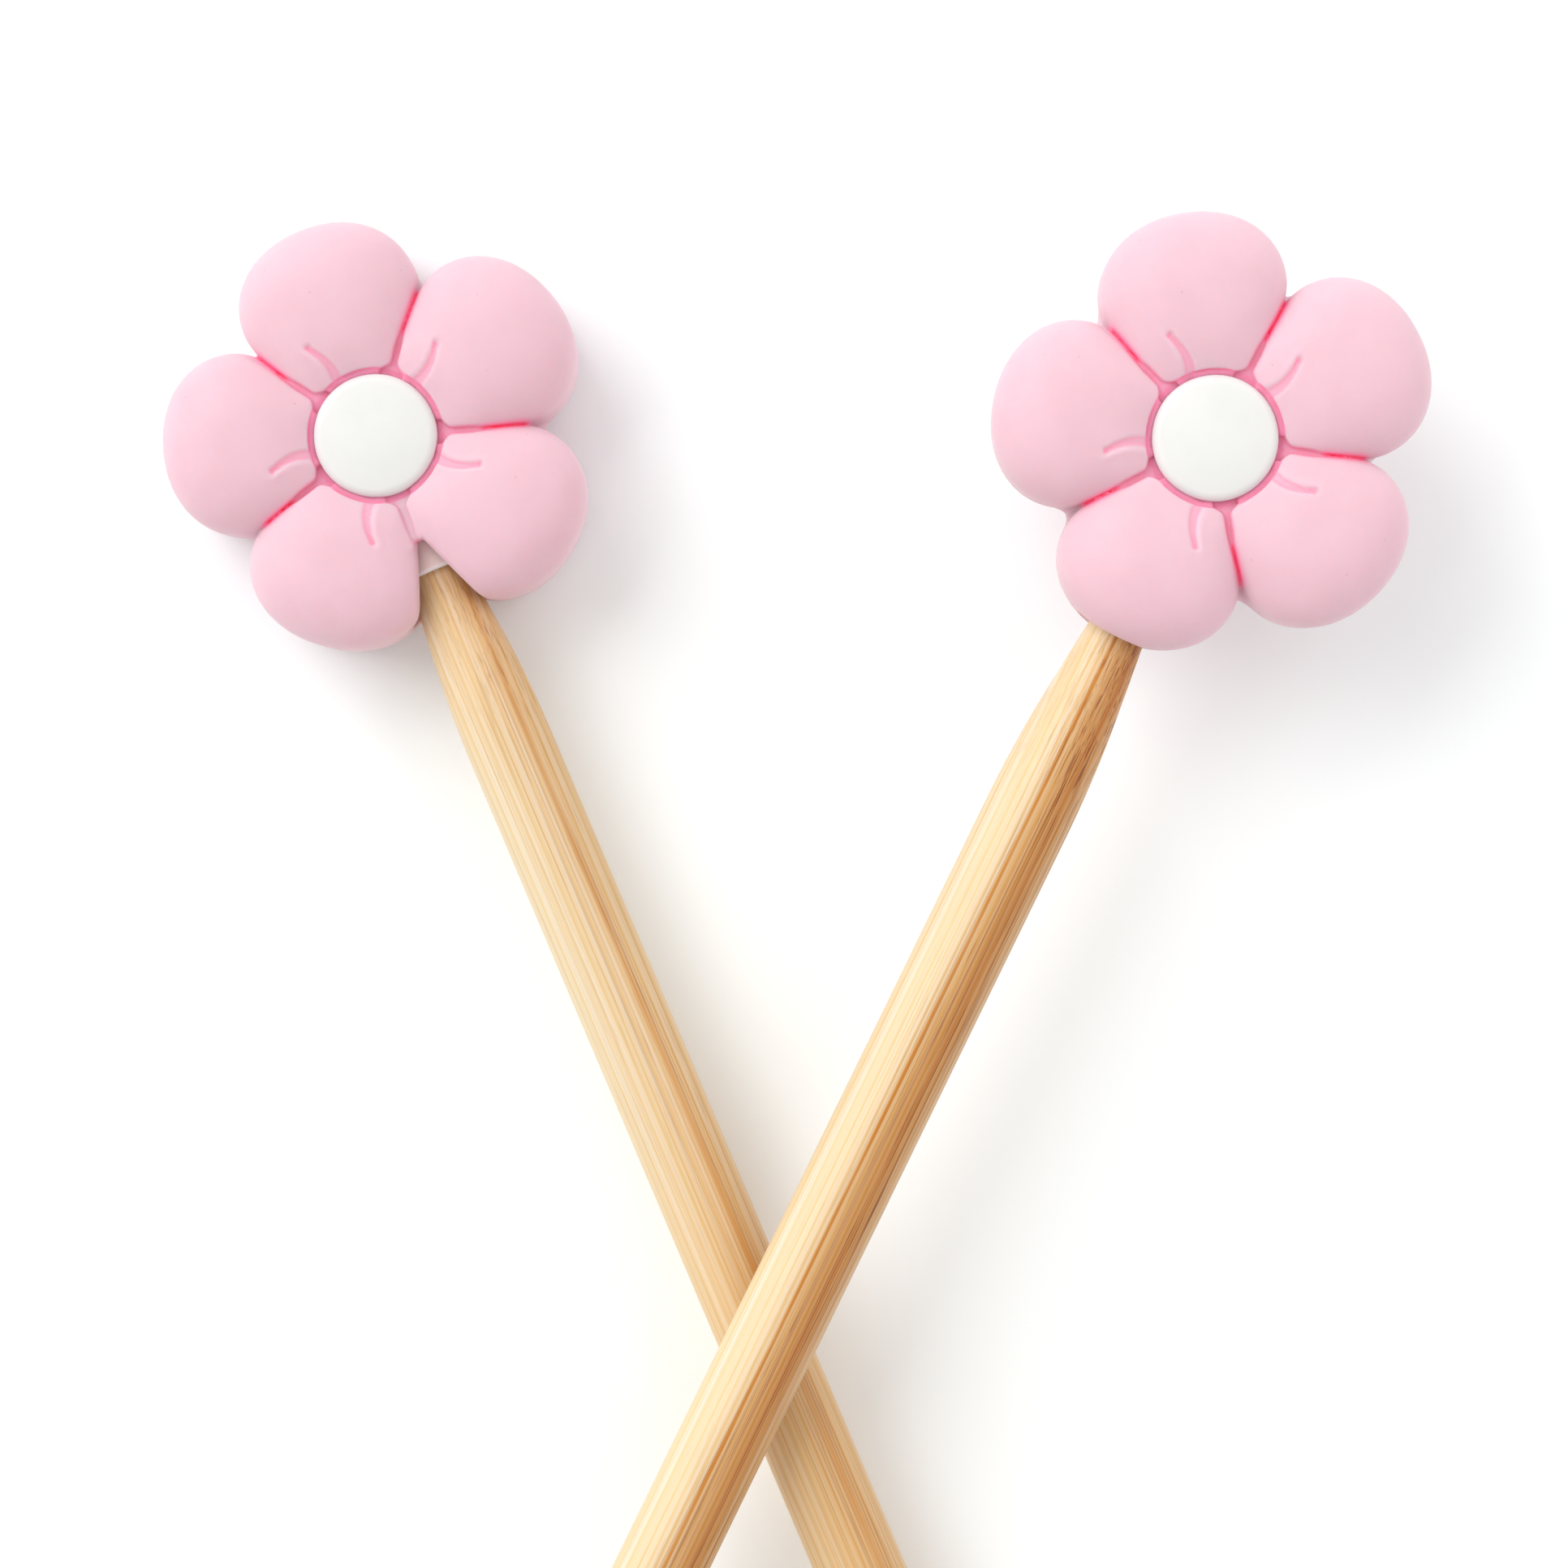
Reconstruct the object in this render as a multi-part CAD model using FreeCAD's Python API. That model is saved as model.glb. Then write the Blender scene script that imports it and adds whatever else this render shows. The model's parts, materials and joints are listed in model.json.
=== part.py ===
import FreeCAD
import Part
import math
import os

# A pair of straight bamboo knitting needles, lying crossed on a flat surface, each with a
# flower-shaped silicone stopper pushed onto its point.
#
# Millimetres. +Z is up, +Y runs from the knobs towards the points and +X to the right. The origin
# is on the surface, under the middle of the whole model's bounding box.
#
# The lower needle lies flat: its knob and the flat back of its stopper rest on the surface. The
# upper needle lies across it, so it slopes down to its own knob and its stopper stands clear.
#
# Each needle and its stopper are first made in a set frame: the shaft's axis is the X axis, the
# flower's centre is at the origin, +X runs towards the knob and +Z out of the flower's face.

# Needle: the shaft, its tapered point and its knob
SHAFT_DIAMETER = 5.0
NEEDLE_LENGTH = 250.0       # from the point to the end of the knob
TAPER_LENGTH = 19.5         # from the point to where the shaft is full size
EASE_LENGTH = 7.5           # the last stretch of the taper, which curves into the shaft
TAPER_HALF_ANGLE = 6.1      # degrees
KNOB_RADIUS = 5.0           # the ball
KNOB_COLLAR_RADIUS = 3.3
KNOB_COLLAR_LENGTH = 1.2
KNOB_COVE_LENGTH = 1.6      # the hollow between the collar and the ball
KNOB_COVE_DEPTH = 0.4
KNOB_SOCKET_DEPTH = 8.5     # how far the shaft goes into the knob

# Stopper: the flower, the button in its middle and the socket sleeve that grips the point
AXIS_HEIGHT = 5.0           # the shaft's axis above the flower's flat back
PETALS = 5
PETAL_HALF_WIDTH = 5.37
PETAL_WIDEST_AT = 8.3       # from the flower's centre
PETAL_TIP_AT = 12.6
PETAL_ROOT_AT = 1.5
PETAL_CENTRE_HEIGHT = 4.6   # above the back
HUB_RADIUS = 5.2
HUB_HEIGHT = 7.9
WEB_RADIUS = 9.0            # the thin back that joins the petals
WEB_THICKNESS = 1.5
RECESS_RADIUS = 3.95
RECESS_FLOOR = 7.65         # above the back
BUTTON_RADIUS = 3.5
BUTTON_RIM_HEIGHT = 8.8     # above the back
BUTTON_EDGE = 0.5
BUTTON_TOP_HEIGHT = 9.5
SLEEVE_RADIUS = 2.2
SLEEVE_LENGTH = 9.6
SLEEVE_GRIP = 8.2           # how far a point goes in when it is pushed home
SLEEVE_END_ROOM = 0.3       # beyond the point
SLEEVE_CLEARANCE = 0.04     # around the taper
ENTRY_RADIUS = 2.5          # of the flower's channel, where the shaft leaves it
ENTRY_LENGTH = 5.0

# How the two sets differ. The lower needle runs into its flower between two petals, pushed home,
# and spreads them a little. The upper one runs in under a petal and stops half a millimetre short.
LOWER_PETAL_TURN = 35.0     # degrees from the needle to the first petal
LOWER_SPREAD = 3.0          # degrees that the last petal is pushed aside
LOWER_POINT_AT = 0.0        # from the flower's centre
LOWER_MOUTH_AT = 8.2        # of the sleeve, from the flower's centre
UPPER_PETAL_TURN = -1.0
UPPER_SPREAD = 0.0
UPPER_POINT_AT = 4.1
UPPER_MOUTH_AT = 11.8

# How the needles lie
LOWER_HEADING = -67.0       # degrees, from +X to the needle's direction towards its knob
UPPER_HEADING = -115.9
LOWER_CROSSING_AT = 56.5    # from the flower's centre to the crossing
UPPER_CROSSING_AT = 57.2
CROSSING_GAP = 0.2          # between the two shafts

# Worked out from the above
SHAFT_RADIUS = SHAFT_DIAMETER / 2
TAPER_SLOPE = math.tan(math.radians(TAPER_HALF_ANGLE))
CONE_LENGTH = TAPER_LENGTH - EASE_LENGTH
EASE_RADIUS = EASE_LENGTH / math.sin(math.radians(TAPER_HALF_ANGLE))
CONE_RADIUS = SHAFT_RADIUS - EASE_RADIUS * (1 - math.cos(math.radians(TAPER_HALF_ANGLE)))
POINT_CONE_RADIUS = CONE_RADIUS - CONE_LENGTH * TAPER_SLOPE
SHOULDER_ANGLE = math.radians(90 + TAPER_HALF_ANGLE)
POINT_RADIUS = POINT_CONE_RADIUS * math.sin(SHOULDER_ANGLE) / (1 + math.cos(SHOULDER_ANGLE))

X_AXIS = FreeCAD.Vector(1, 0, 0)
Z_AXIS = FreeCAD.Vector(0, 0, 1)
CENTRE = FreeCAD.Vector(0, 0, 0)


def on_side(x, radius):
    """A point of an outline that is turned about the X axis."""
    return FreeCAD.Vector(x, 0, radius)


def line(start, end):
    return Part.LineSegment(start, end).toShape()


def arc(start, middle, end):
    return Part.Arc(start, middle, end).toShape()


def turned(edges, axis=X_AXIS):
    """The solid that a closed outline sweeps in a full turn about an axis through the origin."""
    return Part.Face(Part.Wire(edges)).revolve(CENTRE, axis, 360)


def disc(radius, bottom, top):
    """An upright cylinder whose ends stand at two heights above the flower's back."""
    base = FreeCAD.Vector(0, 0, bottom - AXIS_HEIGHT)
    return Part.makeCylinder(radius, top - bottom, base, Z_AXIS)


def shaft(point_at):
    """The bamboo rod with its point: a rounded end, a cone and a curve into the full size."""
    end = point_at + NEEDLE_LENGTH - knob_length() + KNOB_SOCKET_DEPTH
    centre = point_at + POINT_RADIUS
    tangent = SHOULDER_ANGLE
    half = (math.pi + tangent) / 2
    nose = on_side(point_at, 0)
    nose_middle = on_side(centre + POINT_RADIUS * math.cos(half), POINT_RADIUS * math.sin(half))
    nose_end = on_side(centre + POINT_RADIUS * math.cos(tangent), POINT_RADIUS * math.sin(tangent))
    cone_end = on_side(point_at + CONE_LENGTH, CONE_RADIUS)
    half_turn = math.radians(TAPER_HALF_ANGLE) / 2
    full = on_side(point_at + TAPER_LENGTH, SHAFT_RADIUS)
    ease_middle = full + on_side(-EASE_RADIUS * math.sin(half_turn),
                                 -EASE_RADIUS * (1 - math.cos(half_turn)))
    edges = [
        arc(nose, nose_middle, nose_end),
        line(nose_end, cone_end),
        arc(cone_end, ease_middle, full),
        line(full, on_side(end, SHAFT_RADIUS)),
        line(on_side(end, SHAFT_RADIUS), on_side(end, 0)),
        line(on_side(end, 0), nose),
    ]
    return turned(edges)


def ball_centre():
    """From the knob's front to the middle of its ball."""
    reach = math.sqrt(KNOB_RADIUS ** 2 - KNOB_COLLAR_RADIUS ** 2)
    return KNOB_COLLAR_LENGTH + KNOB_COVE_LENGTH + reach


def knob_length():
    return ball_centre() + KNOB_RADIUS


def knob(point_at):
    """A turned ball with a collar, bored for the shaft's end."""
    front = point_at + NEEDLE_LENGTH - knob_length()
    centre = front + ball_centre()
    cove_start = front + KNOB_COLLAR_LENGTH
    cove_end = cove_start + KNOB_COVE_LENGTH
    cove_middle = on_side((cove_start + cove_end) / 2, KNOB_COLLAR_RADIUS - KNOB_COVE_DEPTH)
    socket_end = front + KNOB_SOCKET_DEPTH
    edges = [
        line(on_side(front, SHAFT_RADIUS), on_side(front, KNOB_COLLAR_RADIUS)),
        line(on_side(front, KNOB_COLLAR_RADIUS), on_side(cove_start, KNOB_COLLAR_RADIUS)),
        arc(on_side(cove_start, KNOB_COLLAR_RADIUS), cove_middle,
            on_side(cove_end, KNOB_COLLAR_RADIUS)),
        arc(on_side(cove_end, KNOB_COLLAR_RADIUS), on_side(centre, KNOB_RADIUS),
            on_side(centre + KNOB_RADIUS, 0)),
        line(on_side(centre + KNOB_RADIUS, 0), on_side(socket_end, 0)),
        line(on_side(socket_end, 0), on_side(socket_end, SHAFT_RADIUS)),
        line(on_side(socket_end, SHAFT_RADIUS), on_side(front, SHAFT_RADIUS)),
    ]
    return turned(edges)


def petal():
    """One puffed petal along +X: an egg whose blunt end is the petal's tip."""
    outline = Part.BSplineCurve()
    points = [
        on_side(PETAL_ROOT_AT, 0),
        on_side(3.5, 3.3),
        on_side(6.0, 4.95),
        on_side(PETAL_WIDEST_AT, PETAL_HALF_WIDTH),
        on_side(10.3, 5.03),
        on_side(12.0, 3.45),
        on_side(PETAL_TIP_AT, 0),
    ]
    outline.interpolate(Points=points, InitialTangent=Z_AXIS, FinalTangent=-Z_AXIS)
    egg = turned([outline.toShape(), line(points[-1], points[0])])
    egg.translate(FreeCAD.Vector(0, 0, PETAL_CENTRE_HEIGHT - AXIS_HEIGHT))
    return egg


def flower(petal_turn, spread, mouth_at):
    """Five petals about a hub, flat behind, with a recess for the button and a channel."""
    body = disc(HUB_RADIUS, 0, HUB_HEIGHT).fuse(disc(WEB_RADIUS, 0, WEB_THICKNESS))
    for number in range(PETALS):
        angle = petal_turn + number * 360 / PETALS
        if number == PETALS - 1:
            angle -= spread
        body = body.fuse(petal().rotate(CENTRE, Z_AXIS, angle))
    body = body.cut(disc(2 * PETAL_TIP_AT, -AXIS_HEIGHT, 0))
    body = body.cut(disc(RECESS_RADIUS, RECESS_FLOOR, 2 * AXIS_HEIGHT))
    sleeve_start = FreeCAD.Vector(mouth_at - SLEEVE_LENGTH, 0, 0)
    body = body.cut(Part.makeCylinder(SLEEVE_RADIUS, SLEEVE_LENGTH, sleeve_start, X_AXIS))
    mouth = FreeCAD.Vector(mouth_at, 0, 0)
    entry = Part.makeCone(SLEEVE_RADIUS, ENTRY_RADIUS, ENTRY_LENGTH, mouth, X_AXIS)
    return body.cut(entry)


def button():
    """The domed disc in the middle of the flower."""
    floor = RECESS_FLOOR - AXIS_HEIGHT
    rim = BUTTON_RIM_HEIGHT - AXIS_HEIGHT
    top = BUTTON_TOP_HEIGHT - AXIS_HEIGHT
    round_over = BUTTON_EDGE * (1 - math.sqrt(0.5))
    shoulder = on_side(BUTTON_RADIUS - BUTTON_EDGE, rim + BUTTON_EDGE)
    rise = top - shoulder.z
    dome_radius = (shoulder.x ** 2 + rise ** 2) / (2 * rise)
    halfway = top - dome_radius + math.sqrt(dome_radius ** 2 - (shoulder.x / 2) ** 2)
    edges = [
        line(on_side(0, floor), on_side(BUTTON_RADIUS, floor)),
        line(on_side(BUTTON_RADIUS, floor), on_side(BUTTON_RADIUS, rim)),
        arc(on_side(BUTTON_RADIUS, rim),
            on_side(BUTTON_RADIUS - round_over, rim + BUTTON_EDGE - round_over), shoulder),
        arc(shoulder, on_side(shoulder.x / 2, halfway), on_side(0, top)),
        line(on_side(0, top), on_side(0, floor)),
    ]
    return turned(edges, Z_AXIS)


def sleeve(mouth_at):
    """The socket that grips the point: a tube, closed behind, bored to fit the taper."""
    start = FreeCAD.Vector(mouth_at - SLEEVE_LENGTH, 0, 0)
    tube = Part.makeCylinder(SLEEVE_RADIUS, SLEEVE_LENGTH, start, X_AXIS)
    mouth_radius = POINT_CONE_RADIUS + SLEEVE_GRIP * TAPER_SLOPE + SLEEVE_CLEARANCE
    depth = SLEEVE_GRIP + SLEEVE_END_ROOM
    end_radius = mouth_radius - depth * TAPER_SLOPE
    bore_end = FreeCAD.Vector(mouth_at - depth, 0, 0)
    return tube.cut(Part.makeCone(end_radius, mouth_radius, depth, bore_end, X_AXIS))


def needle_set(petal_turn, spread, point_at, mouth_at):
    """Every piece of one needle and its stopper, in the set frame."""
    return {
        "shaft": shaft(point_at),
        "knob": knob(point_at),
        "flower": flower(petal_turn, spread, mouth_at),
        "button": button(),
        "sleeve": sleeve(mouth_at),
    }


def set_placement(heading, slope, crossing_at, crossing_height):
    """Puts a set's shaft over the crossing, at a height, heading and downward slope to the knob."""
    turn = FreeCAD.Rotation(heading, slope, 0)
    reach = turn.multVec(FreeCAD.Vector(crossing_at, 0, 0))
    return FreeCAD.Placement(FreeCAD.Vector(0, 0, crossing_height) - reach, turn)


upper_crossing_height = AXIS_HEIGHT + SHAFT_DIAMETER + CROSSING_GAP
upper_ball_at = UPPER_POINT_AT + NEEDLE_LENGTH - KNOB_RADIUS
upper_drop = upper_crossing_height - KNOB_RADIUS
upper_slope = math.degrees(math.asin(upper_drop / (upper_ball_at - UPPER_CROSSING_AT)))

sets = {
    "lower": (
        needle_set(LOWER_PETAL_TURN, LOWER_SPREAD, LOWER_POINT_AT, LOWER_MOUTH_AT),
        set_placement(LOWER_HEADING, 0, LOWER_CROSSING_AT, AXIS_HEIGHT),
    ),
    "upper": (
        needle_set(UPPER_PETAL_TURN, UPPER_SPREAD, UPPER_POINT_AT, UPPER_MOUTH_AT),
        set_placement(UPPER_HEADING, upper_slope, UPPER_CROSSING_AT, upper_crossing_height),
    ),
}

nodes = {}
for set_name, (pieces, placement) in sets.items():
    for piece_name, piece in pieces.items():
        nodes[set_name + "_" + piece_name] = piece.transformed(placement.toMatrix())

# The crossing is over the origin so far. The box's middle takes its place.
box = FreeCAD.BoundBox()
for node in nodes.values():
    box.add(node.optimalBoundingBox(True, False))
shift = FreeCAD.Vector(-box.Center.x, -box.Center.y, -box.ZMin)

os.makedirs("parts", exist_ok=True)
for name, node in nodes.items():
    node.translate(shift)
    node.exportStep("parts/" + name + ".step")
    print(name, "valid", node.isValid(), "solids", len(node.Solids), "volume", round(node.Volume, 1))

print("size", round(box.XLength, 3), round(box.YLength, 3), round(box.ZLength, 3))
print("crossing", round(shift.x, 3), round(shift.y, 3), "slope", round(upper_slope, 4))
for set_name, (pieces, placement) in sets.items():
    centre = placement.Base + shift
    print(set_name, "flower centre", [round(value, 3) for value in centre])
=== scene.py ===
"""Straight bamboo knitting needles, crossed, each with a silicone flower stopper on its point.

Each needle and its stopper are made in a set frame, in millimetres: the shaft's axis is the X axis,
the flower's centre is at the origin, +X runs towards the knob and +Z out of the flower's face.
The set's matrix, worked out from the frame, then puts its pieces where the CAD parts are.
"""

import json
import math

import bpy
import numpy as np
from mathutils import Matrix, Vector


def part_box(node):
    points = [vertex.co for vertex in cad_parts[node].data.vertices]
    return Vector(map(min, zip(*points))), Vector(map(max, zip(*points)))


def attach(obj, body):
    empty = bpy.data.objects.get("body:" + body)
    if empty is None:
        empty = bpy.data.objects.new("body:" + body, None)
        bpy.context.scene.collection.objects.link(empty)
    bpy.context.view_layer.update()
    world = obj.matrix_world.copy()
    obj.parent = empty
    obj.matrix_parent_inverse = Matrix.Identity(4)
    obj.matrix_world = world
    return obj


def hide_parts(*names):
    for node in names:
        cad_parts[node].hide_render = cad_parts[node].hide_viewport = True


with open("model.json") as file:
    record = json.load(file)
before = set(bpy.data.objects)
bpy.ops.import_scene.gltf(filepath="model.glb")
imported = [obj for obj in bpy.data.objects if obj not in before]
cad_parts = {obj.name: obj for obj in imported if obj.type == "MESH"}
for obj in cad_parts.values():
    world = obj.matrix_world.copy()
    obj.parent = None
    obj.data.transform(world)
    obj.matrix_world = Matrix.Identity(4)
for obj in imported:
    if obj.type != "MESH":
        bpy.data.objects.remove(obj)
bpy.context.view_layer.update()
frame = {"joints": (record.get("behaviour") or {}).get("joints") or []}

MM = 0.001

# Needle
SHAFT_RADIUS = 2.5
NEEDLE_LENGTH = 250.0
TAPER_LENGTH = 19.5
EASE_LENGTH = 7.5
TAPER_HALF_ANGLE = math.radians(6.1)
KNOB_RADIUS = 5.0
KNOB_COLLAR_RADIUS = 3.3
KNOB_COLLAR_LENGTH = 1.2
KNOB_COVE_LENGTH = 1.6
KNOB_COVE_DEPTH = 0.4
KNOB_COVE_TURNED = (0.9, 0.94)   # shares of the cove's two halves, up to its softened edges
KNOB_BALL_EDGE = 2          # degrees of the ball that its softened edge with the cove takes
KNOB_EDGE = 0.25
KNOB_SOCKET_DEPTH = 8.5
KNOB_SOCKET_ROOM = 0.02

# Flower: heights are above its flat back. A pair of numbers named a zone is where something
# changes: it starts at the first and is complete at the second. An edge is how far a corner is
# rounded, and a blend how far two shapes run into each other.
AXIS_HEIGHT = 5.0
BACK_EDGE = 0.8

PETAL_HALF_WIDTH = 5.2
PETAL_WIDEST_AT = 8.2
PETAL_STARTS_AT = 0.5
PETAL_BLUNT_LENGTH = 4.35   # from the widest place to the tip
PETAL_ROUNDNESS = 2.1
PETAL_RIM_HEIGHT = 6.8      # where a petal's side stands out furthest
PETAL_CREST = 3.1           # from the rim to the top of the petal
PETAL_KEEL = 8.2            # below the rim, if the flat back didn't cut it
PETAL_CROWN = 2.3           # how round it is above the rim
PETAL_SIDE = 4.0            # how upright it is below the rim
PETAL_BLEND = 0.12
INWARD_FALL = 5.6           # over which a petal's crest falls towards the button
INWARD_ROUNDNESS = 2.3
INWARD_NARROWING = 0.095
INWARD_EASE = 1.2
LEAST_WIDTH = 0.1           # shares that keep a petal from closing up near the middle
LEAST_CREST = 0.02
SHIFT_ZONE = (5.0, 9.0)     # radii over which the petals move off centre

WEB_BLEND = 0.9             # of the thin web low between the petals
WEB_ZONE = (4.2, 2.0)
HUB_RADIUS = 5.2
HUB_HEIGHT = 7.9
HUB_BLEND = 0.3
RECESS_RADIUS = 3.85
RECESS_FLOOR = 7.65
RECESS_EDGE = 0.12
RING_FLOOR = 8.75           # of the visible gap round the button
RING_ZONE = (3.38, 3.46)    # where the recess's floor steps up to it, under the button's rim

SEAM_HALF_WIDTH = 0.19
SEAM_STARTS_AT = 3.0
SEAM_FLARE = 0.5
SEAM_CLOSING = 1.2          # share of its width that it loses further out
SEAM_CLOSING_ZONE = (5.2, 7.4)
SEAM_FLOOR = 8.35
SEAM_DROP = 0.6             # of its floor further out
SEAM_DROP_ZONE = (6.0, 8.0)
SEAM_STEEPNESS = 0.8
SEAM_EDGE = 0.16

CREASE_START = 3.94
CREASE_LENGTH = 1.95
CREASE_SIDE = 0.82          # from the petal's middle line, where the crease starts
CREASE_CURL = 0.225
CREASE_HALF_WIDTH = 0.27
CREASE_TAPER = 0.05
CREASE_DEPTH = 0.15
CREASE_WALL = (0.17, -0.13)
CREASE_HEIGHTS = (6.0, 7.0)
LIP_FROM_CREASE = 0.3       # the swelling beside a crease
LIP_HALF_WIDTH = 0.22
LIP_RISE = 0.05
LIP_ZONE = (6.8, 5.8)

# The open notch between two petals, bridged near the button
NOTCH_SEAM_WIDER = 0.06
NOTCH_SEAM_HIGHER = 0.12
NOTCH_STARTS_AT = 6.0
NOTCH_SLOPE = 0.4
NOTCH_EDGE = 0.3
BRIDGE_HALF_WIDTH = 1.2
BRIDGE_HALF_LENGTH = 3.2
BRIDGE_OVER_SEAM = 0.1
BRIDGE_BLEND = 0.6

# Painted shade: how deep the silicone's colour is made in each hollow, standing in for shade and
# light bouncing between its pink walls, from 0, its own pink, to 1, the deepest
CREASE_SHARE = 0.26
CREASE_RIM_SHARE = 0.12
NOTCH_SHARE = 0.1
NOTCH_LINE_SHARE = 0.22
NOTCH_END_SHARE = 0.45
NEAR_SEAM_SHARE = 0.42
FAR_BAND_SHARE = 0.45
FAR_LINE_SHARE = 0.55
RING_SHARE = 0.6
# Where that painted shade is. A line or band is its middle and its half width, and an edge and the
# rim's line are measured outwards from the outline of the crease or the seam.
SIDE_TINT_ZONE = (4.5, 5.5)
CREASE_TINT_START = (CREASE_START - 0.3, CREASE_START - 0.1)
CREASE_TINT_EDGE = (0.1, -0.08)
CREASE_RIM_LINE = (-0.05, 0.07)
CREASE_END_ZONE = (5.2, 6.0)
CREASE_END_PART = 0.6       # of the rim's depth, at the crease's far end
SEAM_TINT_START = (3.0, 3.3)
NOTCH_TINT_END = (6.7, 6.5)
NOTCH_TINT_SIDES = (0.5, 0.4)
NOTCH_TINT_HEIGHTS = (0.45, 0.3)
NOTCH_LINE = (-0.35, 0.12)
NOTCH_END_ZONE = (6.2, 6.4)
NOTCH_END_SIDES = (0.8, 0.6)
NOTCH_END_HEIGHTS = (0.1, -0.05)
NEAR_SEAM_END = (6.6, 5.8)
NEAR_SEAM_EDGE = (0.12, -0.04)
NEAR_SEAM_WALL = 0.25       # how high up its walls the colour goes
FAR_SEAM_START = (5.2, 6.4)
FAR_SEAM_END = (8.9, 8.1)
FAR_BAND = (0, 0.26)
FAR_LINE = (0, 0.13)
RING_TINT_TOP = (RING_FLOOR + 0.2, RING_FLOOR + 0.08)
RING_TINT_BOTTOM = (7.0, 7.4)
RING_TINT_WALL = (RECESS_RADIUS + 0.08, RECESS_RADIUS)

BUTTON_RADIUS = 3.5
BUTTON_TOP = 9.5
BUTTON_EDGE = 0.55
BUTTON_RISE = 0.28          # of the dome above its rounded edge

SLEEVE_RADIUS = 2.2
SLEEVE_LENGTH = 9.6
SLEEVE_GRIP = 8.2
SLEEVE_END_ROOM = 0.3
SLEEVE_CLEARANCE = 0.04
SLEEVE_LIP = 0.18
BORE_ROOM = 0.01            # between the sleeve and the hub that holds it
BORE_WIDENING = 0.24        # past the hub
BORE_STEP = 0.05
BORE_EDGE = 0.1

NET_STEP = 0.13
NET_MARGIN = 0.6            # of the grid round a flower
FILLED_DEPTH = 0.01         # of a grid corner that is filled to keep the net in one sheet
SETTLE_ROUNDS = 6
EVENING_ROUNDS = 4          # the first of them, which also even out the points' spacing
EVENING_SHARE = 0.5
LEAST_SLOPE = 0.2           # of a field, so that a flat stretch of it doesn't throw points away
SLOPE_REACH = 0.01

# How many faces go round each turned piece
SHAFT_SEGMENTS = 128
BUTTON_SEGMENTS = 144
SLEEVE_SEGMENTS = 96

# The two sets: first the stopper and its place on the needle, then the bamboo's own pattern.
# petals: their angles from the needle, in degrees
# point_at, mouth_at: where the needle's point and the sleeve's mouth are
# hub_ends_at: where the flower's narrow hole gives way to a wider one that shows the sleeve
# petals_shift: how far the petals' tips lie off centre
# painted_side_shade: painted shade on the needle's side away from the key light: where across the
# needle it starts and is complete, and how dark it is
# warm: where along it each warmer stretch starts and is complete, and how strong it is
# gold_lines: the place across it, half width and strength of each golden line
SETS = {
    "lower": {
        "petals": [35, 107, 179, 251, 320],
        "point_at": 0.0,
        "mouth_at": 8.2,
        "hub_ends_at": 6.45,
        "open_notch": True,
        "petals_shift": (-0.08, 0.3),
        "grain_offset": (0, 3.7, 1.2),
        "painted_side_shade": (-2.0, 2.2, 0.4),
        # The second warmer stretch is partly the cane's own warmer tone further along and partly
        # painted shade: it darkens the needle past the crossing, where the upper needle's shadow
        # falls.
        "warm": [(24, 10, 0.5), (34, 62, 0.85)],
        "gold_lines": [(-1.2, 0.08, 0.4), (0.6, 0.08, 0.4), (1.25, 0.34, 0.9)],
    },
    "upper": {
        "petals": [-1, 71, 143, 215, 287],
        "point_at": 4.1,
        "mouth_at": 11.8,
        "hub_ends_at": 11.3,
        "open_notch": False,
        "petals_shift": (-0.28, 0.13),
        "grain_offset": (40, -8.1, 5.5),
        "painted_side_shade": (-1.3, 1.5, 1.0),
        "warm": [(26, 14, 0.3)],
        "gold_lines": [(-2.1, 0.06, 0.5), (-0.02, 0.17, 1.9), (0.7, 0.1, 0.8), (1.35, 0.28, 0.8)],
    },
}

# A knob is turned from a piece of its own, with a softer change from its pale side to the painted
# shade on its other side
KNOB_GRAIN = {
    "grain_offset": (7, 2.3, -6.4),
    "painted_side_shade": (-6.0, 7.0, 0.9),
    "gold_lines": [],
}

joints = {joint["name"]: joint for joint in frame["joints"]}


def set_matrix(name):
    """Where a set's frame lies: its axis from the stopper's slide, its place from its button."""
    along = -Vector(joints[name + "_stopper_pull"]["axis"]).normalized()
    across = Vector((0, 0, 1)).cross(along).normalized()
    up = along.cross(across)
    low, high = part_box(name + "_button")
    button_height = (RECESS_FLOOR + BUTTON_TOP) / 2 - AXIS_HEIGHT
    origin = (low + high) / 2 - up * button_height * MM
    return Matrix.Translation(origin) @ Matrix((along, across, up)).transposed().to_4x4()


# Meshes


def add_piece(name, points, faces, material, set_name, body, node):
    """A smooth piece from points in a set's millimetres, riding on a body in place of a CAD node."""
    mesh = bpy.data.meshes.new(name)
    mesh.from_pydata((np.asarray(points) * MM).tolist(), [], faces)
    mesh.polygons.foreach_set("use_smooth", [True] * len(mesh.polygons))
    mesh.materials.append(material)
    mesh.update()
    piece = bpy.data.objects.new(name, mesh)
    bpy.context.scene.collection.objects.link(piece)
    piece.matrix_world = set_matrix(set_name)
    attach(piece, body)
    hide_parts(node)
    return piece


def lathe(outline, segments, closed=False):
    """Points and faces of an outline of (along, radius) turned about the X axis.

    It runs from front to back along the outside. An open outline starts and ends on the axis.
    """
    points = []
    rings = []
    for along, radius in outline:
        first = len(points)
        if radius < 1e-9:
            points.append((along, 0, 0))
            rings.append([first] * segments)
            continue
        for number in range(segments):
            angle = 2 * math.pi * number / segments
            points.append((along, radius * math.cos(angle), radius * math.sin(angle)))
        rings.append(list(range(first, first + segments)))
    faces = []
    pairs = list(zip(rings, rings[1:]))
    if closed:
        pairs.append((rings[-1], rings[0]))
    for front, back in pairs:
        for number in range(segments):
            after = (number + 1) % segments
            corners = [front[number], front[after], back[after], back[number]]
            faces.append(tuple(dict.fromkeys(corners)))
    return points, faces


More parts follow.
